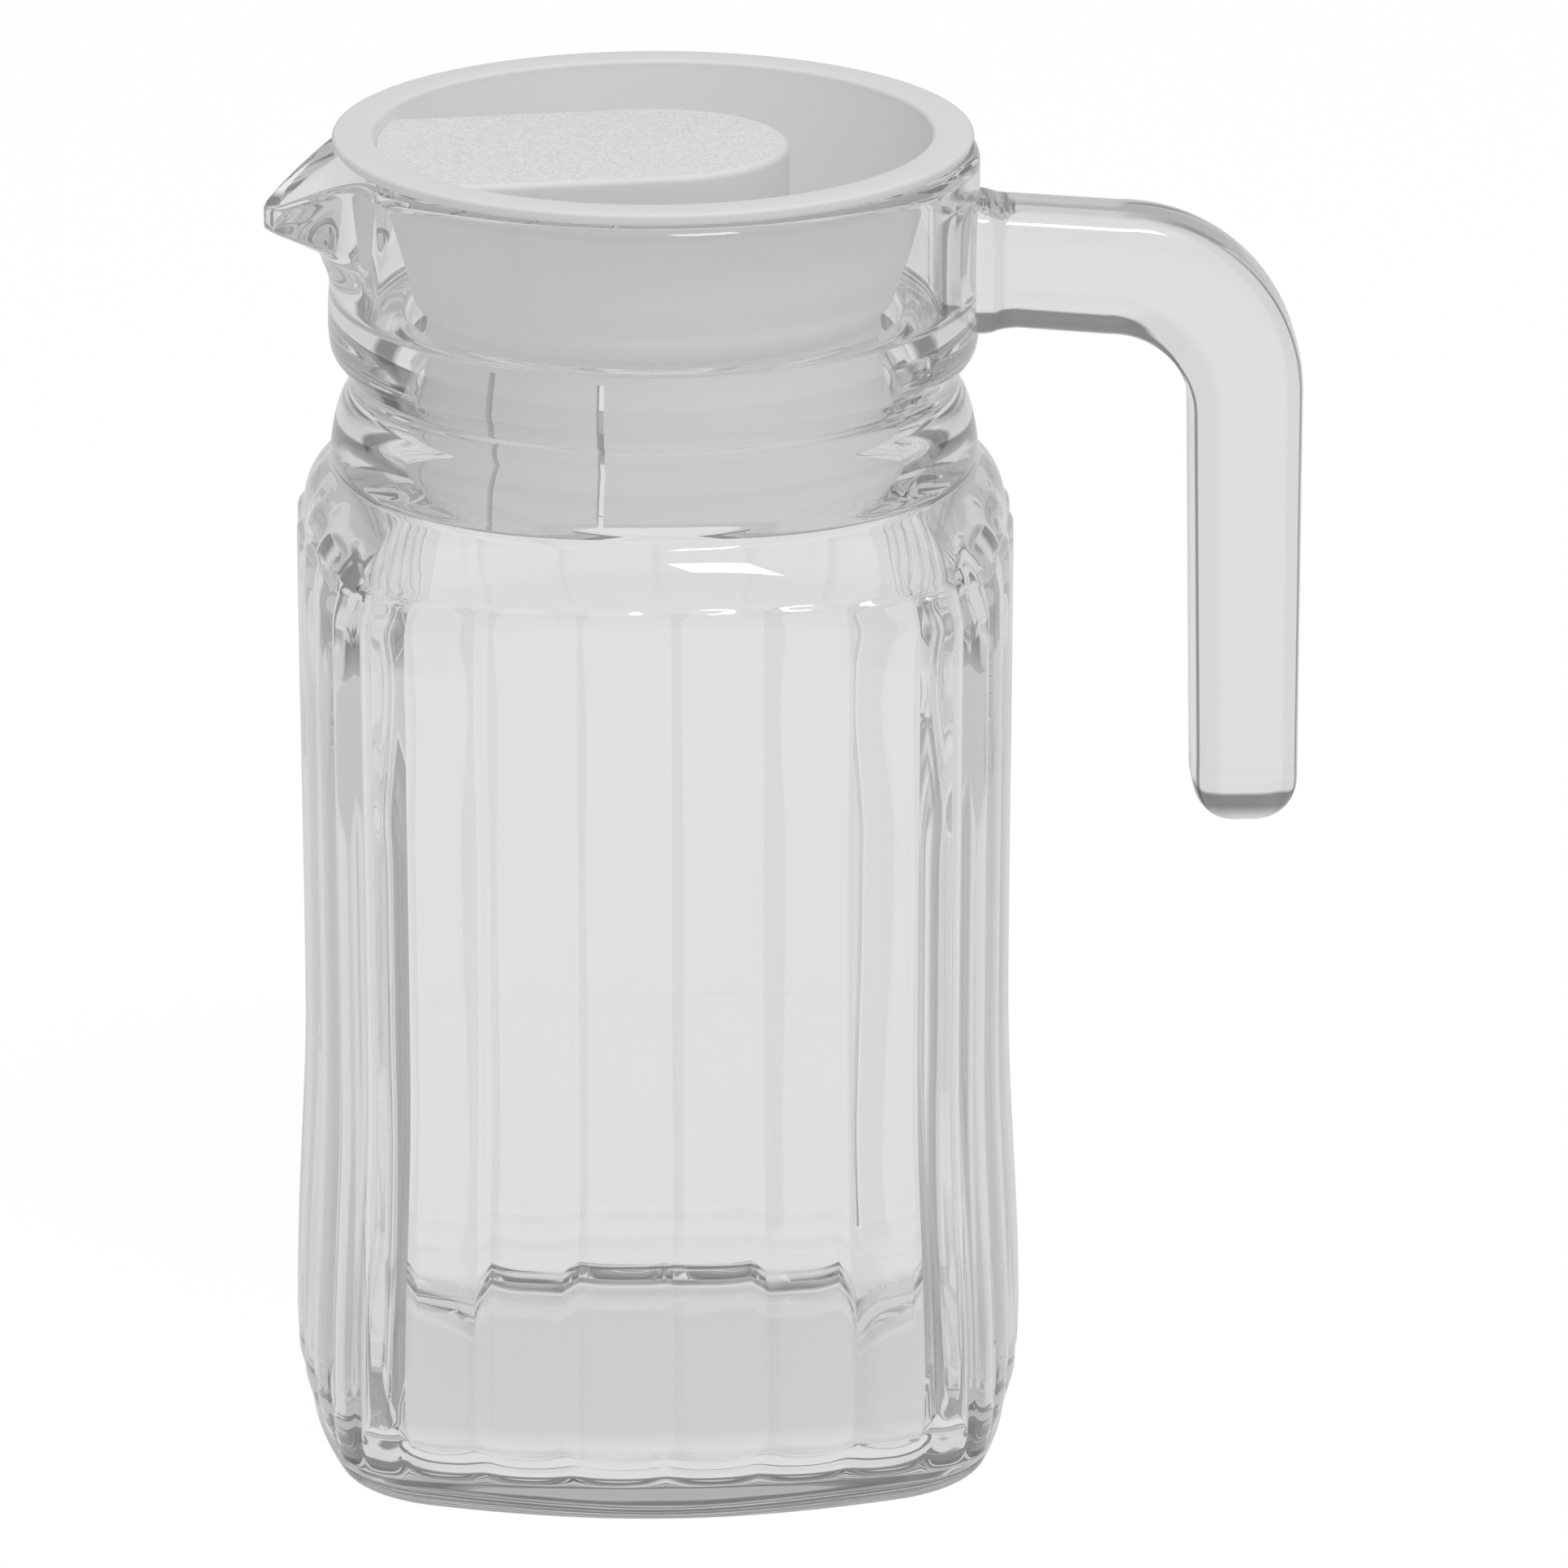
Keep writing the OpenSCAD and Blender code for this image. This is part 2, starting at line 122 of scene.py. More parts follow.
# Two narrow upright cards stand behind the table, half right and half left of the picture, and
# the light falls off a little between them, which draws a faint line in each groove
level = add(sky, "ShaderNodeMath", {0: heading.outputs["X"], 1: heading.outputs["Y"]},
            operation="ARCTAN2").outputs[0]
off_middle = add(sky, "ShaderNodeMath", {0: level}, operation="ABSOLUTE").outputs[0]
turn_share = add(sky, "ShaderNodeMath", {0: off_middle, 1: math.pi}, operation="DIVIDE").outputs[0]
card_tone = ramp(sky, turn_share, [
    (0.000, "ffffff"), (0.035, "ffffff"), (0.055, "f6f6f6"), (0.195, "f6f6f6"), (0.220, "989898"),
    (0.280, "989898"), (0.305, "ffffff")])
through_glass = add(sky, "ShaderNodeVectorMath", {0: through_glass, 1: card_tone},
                    operation="MULTIPLY").outputs[0]
# What the glass mirrors: a grey room with a pale ceiling panel
in_gloss = ramp(sky, height_share, [
    (0.00, "c0c0c0"), (0.45, "c0c0c0"), (0.60, "8c8c8c"), (0.86, "8c8c8c"), (0.93, "ececec")])
seen = add(sky, "ShaderNodeLightPath").outputs
sky_parts = [add(sky, "ShaderNodeBackground", {"Color": colour}).outputs[0]
             for colour in (soft_light, in_gloss, through_glass)]
sky_parts.append(add(sky, "ShaderNodeBackground", {"Color": linear("ffffff")}).outputs[0])
shown = sky_parts[0]
for ray, part in zip(("Is Glossy Ray", "Is Transmission Ray", "Is Camera Ray"), sky_parts[1:]):
    shown = add(sky, "ShaderNodeMixShader", {0: seen[ray], 1: shown, 2: part}).outputs[0]
add(sky, "ShaderNodeOutputWorld", {"Surface": shown})

# The table is matt white paint; its shade is what the camera sees of the jug's shadow
floor_half = 3.0
floor_drop = 0.1 * mm
table_paint = bpy.data.materials.new("matt_white_table_paint")
table_paint.use_nodes = True
paint = table_paint.node_tree
paint.nodes.clear()
seen = add(paint, "ShaderNodeLightPath").outputs
lit = add(paint, "ShaderNodeBsdfDiffuse", {"Color": linear("ececec")}).outputs[0]
white = add(paint, "ShaderNodeEmission", {"Color": linear("ffffff"), "Strength": 1.04}).outputs[0]
clear = add(paint, "ShaderNodeBsdfTransparent").outputs[0]
shade_share = 0.12
unshaded = add(paint, "ShaderNodeMath", {0: seen["Is Camera Ray"], 1: 1 - shade_share},
               operation="MULTIPLY").outputs[0]
shown = add(paint, "ShaderNodeMixShader", {0: unshaded, 1: lit, 2: white}).outputs[0]
shown = add(paint, "ShaderNodeMixShader", {0: seen["Is Transmission Ray"], 1: shown, 2: clear}).outputs[0]
add(paint, "ShaderNodeOutputMaterial", {"Surface": shown})

floor_mesh = bpy.data.meshes.new("floor")
floor_mesh.from_pydata([(x * floor_half, y * floor_half, -floor_drop)
                        for x, y in ((-1, -1), (1, -1), (1, 1), (-1, 1))], [], [(0, 1, 2, 3)])
floor_mesh.materials.append(table_paint)
floor = bpy.data.objects.new("floor", floor_mesh)
bpy.context.scene.collection.objects.link(floor)


def softbox(name, turn, height, distance, size, power):
    """A square lamp at a heading and height in degrees, facing the middle of the object."""
    data = bpy.data.lights.new(name, "AREA")
    data.shape = "SQUARE"
    data.size = size
    data.energy = power
    # Its mirror images deep in the glass are left out
    data.use_nodes = True
    tree = data.node_tree
    tree.nodes.clear()
    path = add(tree, "ShaderNodeLightPath").outputs
    inside = add(tree, "ShaderNodeMath", {0: path["Transmission Depth"], 1: path["Glossy Depth"]},
                 operation="MULTIPLY").outputs[0]
    strength = add(tree, "ShaderNodeMath", {0: inside, 1: 0.5}, operation="LESS_THAN").outputs[0]
    glow = add(tree, "ShaderNodeEmission", {"Strength": strength}).outputs[0]
    add(tree, "ShaderNodeOutputLight", {"Surface": glow})
    lamp = bpy.data.objects.new(name, data)
    a, e = math.radians(turn), math.radians(height)
    way = Vector((math.sin(a) * math.cos(e), -math.cos(a) * math.cos(e), math.sin(e)))
    lamp.location = camera_target + distance * way
    lamp.rotation_mode = "QUATERNION"
    lamp.rotation_quaternion = way.to_track_quat("Z", "Y")
    bpy.context.scene.collection.objects.link(lamp)
    return lamp


softbox("key_softbox", 22, 58, 1.2, 0.34, 3.2)

# Glass body
# The jug is soda-lime glass, pressed and then blown in one mould: thick clear walls with six
# soft flutes on each side and two round each corner, a plain foot, a smooth neck and a collar
# that is drawn out into a pouring lip. The inside is free of the mould and only gently wavy.
glass_low, glass_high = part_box("glass_body")
rim_z = glass_high.z
body_half = 42.4 * mm
side_r = 125 * mm
corner_r = 12 * mm
foot_h = 4.8 * mm
foot_half = 39 * mm
base_swell = 1.5 * mm
swell_z = 13 * mm
waist_z = 55 * mm
waist_in = 0.25 * mm
flute_top = 113.5 * mm
flute_pitch = 11.1 * mm
flute_relief = 0.8 * mm
flute_top_fade, flute_top_arch = 1.1 * mm, 1.3 * mm
flute_foot_fade, flute_foot_arch = 6 * mm, 0.2 * mm
flute_fullness = 2.3
side_softness, corner_flatness = 0.93, 1.5
flutes_a_side = 6
flutes_a_corner = 2
wall_t = 3.4 * mm
base_t = 4.6 * mm
cavity_round = 7 * mm
shoulder_h = 6 * mm
neck_ring_r, neck_ring_h = 38.4 * mm, 7.5 * mm
groove_r, groove_h = 36 * mm, 6.2 * mm
collar_r = 38.3 * mm
chamber_r, chamber_depth = 34 * mm, 18.4 * mm
bore_r, bore_l = 28.9 * mm, 8 * mm
rim_round = 1.5 * mm
lip_angle = math.radians(27)
lip_drop, lip_edge_h, lip_flare_h = 6.8 * mm, 2.8 * mm, 5.2 * mm
lip_t = 1.7 * mm

groove_half = body_half - flute_relief
lip_reach = -glass_low.x - collar_r
ring_z = flute_top + shoulder_h
groove_z = ring_z + neck_ring_h
collar_z = groove_z + groove_h
ledge_z = rim_z - chamber_depth
bore_z = ledge_z - bore_l
tip_z = rim_z - lip_drop - lip_edge_h


def mix(a, b, t):
    return a + (b - a) * t


def ease(t):
    """0 below 0, 1 above 1 and a soft S between them."""
    return (1 - np.cos(math.pi * np.clip(t, 0, 1))) / 2


def smooth_path(points, step):
    """A smooth curve through the points, as a dense row of points at most step apart."""
    points = np.array(points, float)
    chord = np.linalg.norm(np.diff(points[:, :2], axis=0), axis=1)[:, None]
    slope = np.diff(points, axis=0) / chord
    inner = (slope[:-1] * chord[1:] + slope[1:] * chord[:-1]) / (chord[1:] + chord[:-1])
    tangent = np.vstack([slope[:1], inner, slope[-1:]])
    rows = [points[:1]]
    for k, h in enumerate(chord[:, 0]):
        t = np.linspace(0, 1, max(1, math.ceil(h / step)) + 1)[1:, None]
        rows.append((2 * t**3 - 3 * t**2 + 1) * points[k] + (3 * t**2 - 2 * t**3) * points[k + 1]
                    + (t**3 - 2 * t**2 + t) * h * tangent[k] + (t**3 - t**2) * h * tangent[k + 1])
    return np.vstack(rows)


# Plan of the body: a square with bulged sides and round corners, as a share of its half width
side_in = side_r - body_half
corner_gap = side_r - corner_r
corner_c = (math.sqrt(2 * corner_gap**2 - side_in**2) - side_in) / 2
corner_at = math.atan2(side_r * corner_c / corner_gap,
                       side_r * (corner_c + side_in) / corner_gap - side_in)


def square_share(a):
    b = np.abs(a - math.pi / 2 * np.round(a / (math.pi / 2)))
    side = np.sqrt(side_r**2 - (side_in * np.sin(b))**2) - side_in * np.cos(b)
    corner = (corner_c * (np.cos(b) + np.sin(b))
              + np.sqrt(np.maximum(corner_r**2 - (corner_c * (np.cos(b) - np.sin(b)))**2, 0)))
    return np.where(b < corner_at, side, corner) / body_half


def side_line(z):
    """Half width of the sides at a height, measured in the grooves."""
    return (groove_half + base_swell * ease((waist_z - z) / (waist_z - swell_z))
            - waist_in * ease((flute_top - z) / (flute_top - waist_z))
            - base_swell * np.clip((swell_z - z) / (swell_z - foot_h), 0, 1)**2 / 2)


# Directions of the surface points and their places across their flutes. The grooves within a
# side are shallower than those beside the corners, and the corners' flutes are flatter.
points_a_flute = 10
turns, across = [], []
last_groove = math.atan(flutes_a_side / 2 * flute_pitch / body_half)
for side in range(4):
    for k in range(-flutes_a_side // 2, flutes_a_side // 2):
        for t in np.arange(points_a_flute) / points_a_flute:
            turns.append(side * math.pi / 2 + math.atan((k + t) * flute_pitch / body_half))
            last = k == -flutes_a_side // 2 and t == 0
            across.append(0.0 if last else 0.5 + side_softness * (t - 0.5))
    for k in range(flutes_a_corner):
        for t in np.arange(points_a_flute) / points_a_flute:
            share = (k + t) / flutes_a_corner
            turns.append(side * math.pi / 2 + mix(last_groove, math.pi / 2 - last_groove, share))
            across.append((1 + math.copysign(abs(2 * t - 1)**corner_flatness, t - 0.5)) / 2)
turns, across = np.array(turns), np.array(across)
# The lip is drawn out to a rounded point
from_lip = np.clip(np.abs((turns % (2 * math.pi)) - math.pi) / lip_angle, 0, 1)
point_soft, point_power = 0.2, 1.7
from_point = (np.hypot(from_lip, point_soft) - point_soft) / (math.hypot(1, point_soft) - point_soft)
lip_share = (1 - from_point)**point_power

# Outer skin: each level is (height, half width, squareness, share of the lip)
foot_out = side_line(foot_h) - foot_half
foot_squareness, top_squareness = 0.5, 0.85
foot_levels = [(foot_h * (1 - math.cos(t)), foot_half + foot_out * math.sin(t),
                mix(foot_squareness, 1, math.sin(t)), 0)
               for t in np.radians(np.linspace(0, 90, 12))]
end_h = 5 * mm
fluted_zs = np.concatenate([np.linspace(foot_h, foot_h + end_h, 17)[1:],
                            np.linspace(foot_h + end_h, flute_top - end_h, 22)[1:-1],
                            np.linspace(flute_top - end_h, flute_top, 22)[:-1]])
fluted_levels = [(z, side_line(z), mix(1, top_squareness, float(ease((z - flute_top + end_h) / end_h))), 0)
                 for z in fluted_zs]
shoulder_shares = [(0, 1, top_squareness), (0.28, 0.92, 0.66), (0.54, 0.74, 0.43), (0.76, 0.46, 0.22),
                   (0.91, 0.18, 0.08), (1, 0, 0)]
ring_top_r = mix(neck_ring_r, groove_r, 0.62)
upper_levels = [(flute_top + shoulder_h * h, mix(neck_ring_r, side_line(flute_top), w), q, 0)
                for h, w, q in shoulder_shares]
upper_levels += [(ring_z + neck_ring_h * h, mix(neck_ring_r, ring_top_r, w), 0, 0)
                 for h, w in ((0.25, 0.12), (0.5, 0.3), (0.85, 0.72), (1, 1))]
upper_levels += [(groove_z + groove_h * h, mix(groove_r, ring_top_r if h < 0.4 else collar_r, w), 0, 0)
                 for h, w in ((0.18, 0.28), (0.4, 0), (0.62, 0.1), (0.84, 0.5), (1, 0.82))]
collar_turn_h = 2.2 * mm
upper_levels += [(collar_z + collar_turn_h, collar_r, 0, 0),
                 (mix(collar_z, tip_z - lip_flare_h, 0.6), collar_r, 0, 0)]
flare_shares = [(0, 0), (0.36, 0.1), (0.62, 0.2), (0.83, 0.42), (0.94, 0.68), (1, 0.84), (1.08, 0.96),
                (1.18, 1)]
upper_levels += [(tip_z - lip_flare_h * (1 - h), collar_r, 0, lip) for h, lip in flare_shares]
rim_levels = [(rim_z - rim_round * (1 - math.sin(t)), collar_r - rim_round * (1 - math.cos(t)), 0, 1)
              for t in np.radians(np.linspace(0, 90, 8))]
outer_levels = np.vstack([foot_levels, fluted_levels, smooth_path(upper_levels, 0.6 * mm),
                          smooth_path([upper_levels[-1], rim_levels[0]], 0.7 * mm)[1:-1], rim_levels])

# Inner skin: the same columns, from the rim down to the floor
neck_in_r = groove_r - wall_t
ledge_round = 0.8 * mm
inner_rim = [(rim_z - rim_round * (1 - math.cos(t)), chamber_r + rim_round * (1 - math.sin(t)), 0, 1)
             for t in np.radians(np.linspace(0, 90, 8))]
chamber_wall = [(z, chamber_r, 0, float(ease((z - tip_z + lip_flare_h) / lip_flare_h)))
                for z in np.linspace(rim_z - rim_round, ledge_z + ledge_round, 22)[1:]]
ledge = [(ledge_z + ledge_round * (1 - math.sin(t)), chamber_r - ledge_round * (1 - math.cos(t)), 0, 0)
         for t in np.radians(np.linspace(0, 90, 5))[1:]]
ledge += [(ledge_z, r, 0, 0) for r in np.linspace(chamber_r - ledge_round, bore_r + ledge_round, 5)[1:]]
ledge += [(ledge_z - ledge_round * (1 - math.cos(t)), bore_r + ledge_round * (1 - math.sin(t)), 0, 0)
          for t in np.radians(np.linspace(0, 90, 5))[1:]]
inner_low = flute_top - 7 * mm
inner_neck = ring_z + neck_ring_h / 2
neck_and_walls = [(bore_z, bore_r, 0, 0),
                  (mix(bore_z, inner_neck, 0.4), mix(bore_r, neck_in_r, 0.75), 0, 0),
                  (inner_neck, neck_in_r, 0, 0)]
neck_and_walls += [(mix(inner_low, inner_neck, h), mix(neck_in_r, groove_half - wall_t, w), q, 0)
                   for h, w, q in ((0.78, 0.33, 0.28), (0.55, 0.68, 0.6), (0.3, 0.92, 0.85))]
mid_z = mix(waist_z, inner_low, 0.5)
neck_and_walls += [(z, side_line(z) - wall_t, 1, 0) for z in (inner_low, mid_z, waist_z)]
neck_and_walls = [p for p in smooth_path(neck_and_walls, 1.5 * mm) if p[0] > mid_z + 0.6 * mm]
wall_foot = side_line(swell_z) - wall_t
walls = [(z, side_line(z) - wall_t, 1, 0) for z in np.linspace(mid_z, base_t + cavity_round, 20)[:-1]]
floor_turn = [(base_t + cavity_round * (1 - math.sin(t)), wall_foot - cavity_round * (1 - math.cos(t)), 1, 0)
              for t in np.radians(np.linspace(0, 90, 14))]
floor_in = [(base_t, w, mix(1, 0.3, 1 - w / wall_foot), 0)
            for w in np.linspace(wall_foot - cavity_round, 2 * mm, 14)[1:]]
bore_wall = smooth_path([(ledge_z - ledge_round, bore_r, 0, 0), (bore_z, bore_r, 0, 0)], 2 * mm)[1:-1]
inner_levels = np.vstack([inner_rim, chamber_wall, ledge, bore_wall, neck_and_walls, walls, floor_turn,
                          floor_in])


def ring(level, reach):
    """One ring of surface points at a level, drawn out by reach in the middle of the lip."""
    z, width, squareness, lip = level
    r = mix(width, width * square_share(turns), squareness) + reach * lip_share * lip
    squeeze = lip_drop / (lip_drop + lip_edge_h)
    dip = np.where(z > tip_z, (z - tip_z) * lip_share * squeeze, 0) * lip if z > tip_z else 0 * r
    return np.stack([r * np.cos(turns), r * np.sin(turns), z - dip], axis=1)


def ripple(points, size, depth, seed):
    """Soft random offsets, one for each point, for glass that was free of the mould."""
    return np.array([noise.noise(Vector(p) / size + Vector((seed, 0, 0))) for p in points]) * depth


outer_rings = [ring(level, lip_reach) for level in outer_levels]
channel_reach = lip_reach + collar_r - chamber_r - lip_t
inner_rings = [ring(level, channel_reach) for level in inner_levels]
for level, points in zip(inner_levels, inner_rings):
    if level[0] < inner_low:
        push = ripple(points, 14 * mm, 0.006 * mm, 3)
        radial = points[:, :2] / np.linalg.norm(points[:, :2], axis=1)[:, None]
        points[:, :2] += radial * push[:, None]
    if level[0] < base_t + cavity_round / 2:
        points[:, 2] += ripple(points, 8 * mm, 0.04 * mm, 9)

# The underside has a shallow dent, so that the jug stands on a ring
dent_h = 0.5 * mm
dent_levels = [(0, foot_half - 4 * mm), (dent_h * 0.6, foot_half - 6 * mm), (dent_h, foot_half - 9 * mm),
               (dent_h, 15 * mm), (dent_h, 2 * mm)]
dent_rings = [ring((z, w, foot_squareness, 0), 0) for z, w in dent_levels]
rings = dent_rings[::-1] + outer_rings + inner_rings
count = len(turns)
corners = np.vstack([*rings, [[0, 0, dent_h], [0, 0, base_t]]])
faces = [(k * count + i, k * count + (i + 1) % count, (k + 1) * count + (i + 1) % count, (k + 1) * count + i)
         for k in range(len(rings) - 1) for i in range(count)]
low, last = len(rings) * count, (len(rings) - 1) * count
faces += [(low, (i + 1) % count, i) for i in range(count)]
faces += [(low + 1, last + i, last + (i + 1) % count) for i in range(count)]
body_mesh = bpy.data.meshes.new("glass_jug")
body_mesh.from_pydata(corners.tolist(), [], faces)

# How much of the flutes' relief each point gets: all of it between the two arched ends
bend = np.abs(2 * across - 1)**4
relief_shares = [np.zeros(count) for _ in dent_rings]
relief_shares += [ease((flute_top - flute_top_arch * bend - z) / flute_top_fade)
                  * ease((z - foot_h - flute_foot_arch * bend) / flute_foot_fade) for z in outer_levels[:, 0]]
relief_shares += [np.zeros(count) for _ in inner_levels]
for name, values in (("relief_share", np.concatenate([*relief_shares, [0, 0]])),
                     ("across", np.concatenate([*([across] * len(rings)), [0, 0]]))):
    body_mesh.attributes.new(name, "FLOAT", "POINT").data.foreach_set("value", values.astype(np.float32))

# Clear soda-lime glass: colourless, with a fire-polished skin that is smooth but faintly wavy
glass = bpy.data.materials.new("fire_polished_soda_lime_glass")
glass.use_nodes = True
tree = glass.node_tree
tree.nodes.clear()
place = add(tree, "ShaderNodeTexCoord").outputs["Object"]
wave_size = 9 * mm
waves = add(tree, "ShaderNodeTexNoise", {"Vector": place, "Scale": 1 / wave_size, "Detail": 1.0})
wavy = add(tree, "ShaderNodeBump", {"Height": waves.outputs[0], "Distance": 0.006 * mm, "Strength": 1.0})
skin = add(tree, "ShaderNodeBsdfPrincipled", {
    "Base Color": linear("ffffff"), "Roughness": 0.0, "IOR": 1.52, "Transmission Weight": 1.0,
    "Normal": wavy.outputs[0]})
tint = add(tree, "ShaderNodeVolumeAbsorption", {"Color": linear("c8caca"), "Density": 8.0})
# Light on its way to the lid passes straight through, and so do rays caught between the skins
path = add(tree, "ShaderNodeLightPath").outputs
caught = add(tree, "ShaderNodeMath", {0: path["Glossy Depth"], 1: 3.5}, operation="GREATER_THAN").outputs[0]
lighting = add(tree, "ShaderNodeMath", {0: path["Is Shadow Ray"], 1: path["Is Diffuse Ray"]},
               operation="MAXIMUM").outputs[0]
passing = add(tree, "ShaderNodeMath", {0: caught, 1: lighting}, operation="MAXIMUM").outputs[0]
clear = add(tree, "ShaderNodeBsdfTransparent").outputs[0]
surface = add(tree, "ShaderNodeMixShader", {0: passing, 1: skin.outputs[0], 2: clear}).outputs[0]
add(tree, "ShaderNodeOutputMaterial", {"Surface": surface, "Volume": tint.outputs[0]})


def new_tree(name, sockets):
    """An empty geometry tree with named inputs, and its input and output nodes."""
    tree = bpy.data.node_groups.new(name, "GeometryNodeTree")
    for label, kind in sockets:
        tree.interface.new_socket(label, in_out="INPUT", socket_type=kind)
    tree.interface.new_socket("Geometry", in_out="OUTPUT", socket_type="NodeSocketGeometry")
    return tree, add(tree, "NodeGroupInput").outputs


def grown(piece, tree, values):
    """The piece's mesh after the tree has worked on it with these input values."""
    modifier = piece.modifiers.new(tree.name, "NODES")
    modifier.node_group = tree
    for item in tree.interface.items_tree:
        if item.in_out == "INPUT" and item.name in values:
            modifier[item.identifier] = values[item.name]
    return settled(piece)


def settled(piece):
    """Turns a piece's modifiers into plain mesh and removes them."""
    shape = bpy.data.meshes.new_from_object(piece.evaluated_get(bpy.context.evaluated_depsgraph_get()))
    shape.name = piece.name
    piece.modifiers.clear()
    piece.data = shape
    return piece


def new_piece(name, mesh):
    piece = bpy.data.objects.new(name, mesh)
    bpy.context.scene.collection.objects.link(piece)
    return piece


# The mould presses the flutes outwards: full in a flute's middle and nothing in its grooves
press, given = new_tree("pressed_flutes", [("Geometry", "NodeSocketGeometry"), ("Relief", "NodeSocketFloat"),
                                           ("Fullness", "NodeSocketFloat"), ("Glass", "NodeSocketMaterial")])
share = add(press, "GeometryNodeInputNamedAttribute", {"Name": "relief_share"}, data_type="FLOAT").outputs[0]
spot = add(press, "GeometryNodeInputNamedAttribute", {"Name": "across"}, data_type="FLOAT").outputs[0]
centred = add(press, "ShaderNodeMath", {0: spot, 1: 2.0, 2: -1.0}, operation="MULTIPLY_ADD").outputs[0]
from_crown = add(press, "ShaderNodeMath", {0: centred}, operation="ABSOLUTE").outputs[0]
fall = add(press, "ShaderNodeMath", {0: from_crown, 1: given["Fullness"]}, operation="POWER").outputs[0]
crown = add(press, "ShaderNodeMath", {0: 1.0, 1: fall}, operation="SUBTRACT").outputs[0]
lift = add(press, "ShaderNodeMath", {0: crown, 1: share}, operation="MULTIPLY").outputs[0]
lift = add(press, "ShaderNodeMath", {0: lift, 1: given["Relief"]}, operation="MULTIPLY").outputs[0]
point_at = add(press, "GeometryNodeInputPosition").outputs[0]
flat = add(press, "ShaderNodeVectorMath", {0: point_at, 1: (1, 1, 0)}, operation="MULTIPLY").outputs[0]
outward = add(press, "ShaderNodeVectorMath", {0: flat}, operation="NORMALIZE").outputs[0]
push = add(press, "ShaderNodeVectorMath", {0: outward, "Scale": lift}, operation="SCALE").outputs[0]
moved = add(press, "GeometryNodeSetPosition", {"Geometry": given["Geometry"], "Offset": push}).outputs[0]
whole = add(press, "GeometryNodeRealizeInstances", {"Geometry": moved}).outputs[0]
dressed = add(press, "GeometryNodeSetMaterial", {"Geometry": whole, "Material": given["Glass"]}).outputs[0]
add(press, "NodeGroupOutput", {"Geometry": dressed})

jug = grown(new_piece("jug_glass", body_mesh), press,
            {"Relief": flute_relief, "Fullness": flute_fullness, "Glass": glass})

# Handle
# A hook of solid glass, pressed by itself with flat flanks and full round edges, and fused hot
# to the collar. The joint has flowed into a low pad, so jug and hook are one body of glass.
arm_h = 14.4 * mm
handle_d = 13.6 * mm
grip_w, grip_end_w = 13.4 * mm, 12.6 * mm
grip_out = 76.5 * mm
arm_top = rim_z - 7.2 * mm
arm_fall = 0.9 * mm
grip_end_z = 73.6 * mm
bend_inner_r, bend_outer_r = 9.6 * mm, 21.6 * mm
section_power = 5
pad_t, pad_out = 1.3 * mm, 0.6 * mm
weld_depth = 1.4 * mm
section_points = 64

arm_low = arm_top - arm_h
grip_in = grip_out - grip_w
inner_bend = np.array([grip_in - bend_inner_r, arm_low - arm_fall - bend_inner_r])
outer_bend = np.array([grip_out - bend_outer_r, arm_top - arm_fall - bend_outer_r])
root_x = collar_r - weld_depth
grip_dome = grip_end_w / 2
# Each station is (inner edge x, z, outer edge x, z, depth)
pad_shares = [(0.2, 1), (0.5, 0.97), (0.8, 0.85), (1.1, 0.68), (1.5, 0.42), (2, 0.2), (2.7, 0.06), (3.4, 0)]
pad_line = [(root_x, pad_out)] + [(collar_r + pad_t * along, pad_out * out) for along, out in pad_shares]
arm_stations = [(x, arm_low - out, x, arm_top + out, handle_d + 2 * out) for x, out in pad_line]
ways = [np.array([math.sin(a), math.cos(a)]) for a in np.radians(np.linspace(0, 90, 37))]
bend_stations = [(*(inner_bend + bend_inner_r * way), *(outer_bend + bend_outer_r * way), handle_d)
                 for way in ways]
grip_mid = grip_out - grip_end_w / 2
dome_angles = np.radians([0, 8, 16, 24, 32, 40, 48, 55, 62, 68, 74, 79, 83, 86.5])
dome_stations = [(grip_mid - grip_dome * math.cos(a), grip_end_z + grip_dome * (1 - math.sin(a)),
                  grip_mid + grip_dome * math.cos(a), grip_end_z + grip_dome * (1 - math.sin(a)),
                  handle_d * math.cos(a)) for a in dome_angles]


def between(first, second, n):
    """n stations evenly between two others."""
    return [tuple(mix(np.array(first), np.array(second), t)) for t in np.linspace(0, 1, n + 2)[1:-1]]


stations = (arm_stations + between(arm_stations[-1], bend_stations[0], 8) + bend_stations
            + between(bend_stations[-1], dome_stations[0], 16) + dome_stations)
angles = 2 * math.pi * (np.arange(section_points) + 0.5) / section_points
full_cos = np.sign(np.cos(angles)) * np.abs(np.cos(angles))**(2 / section_power)
full_sin = np.sign(np.sin(angles)) * np.abs(np.sin(angles))**(2 / section_power)
hook_points = []
for xi, zi, xo, zo, depth in stations:
    hook_points += [((xi + xo) / 2 + (xo - xi) / 2 * c, -depth / 2 * s, (zi + zo) / 2 + (zo - zi) / 2 * c)
                    for c, s in zip(full_cos, full_sin)]
n = section_points
hook_faces = [(k * n + i, k * n + (i + 1) % n, (k + 1) * n + (i + 1) % n, (k + 1) * n + i)
              for k in range(len(stations) - 1) for i in range(n)]
hook_points += [(root_x, 0, arm_top - arm_h / 2), (grip_mid, 0, grip_end_z)]
start, end = len(stations) * n, (len(stations) - 1) * n
hook_faces += [(start, (i + 1) % n, i) for i in range(n)]
hook_faces += [(start + 1, end + i, end + (i + 1) % n) for i in range(n)]
hook_mesh = bpy.data.meshes.new("hook")
hook_mesh.from_pydata(hook_points, [], hook_faces)
hook_mesh.materials.append(glass)
hook = new_piece("hook", hook_mesh)


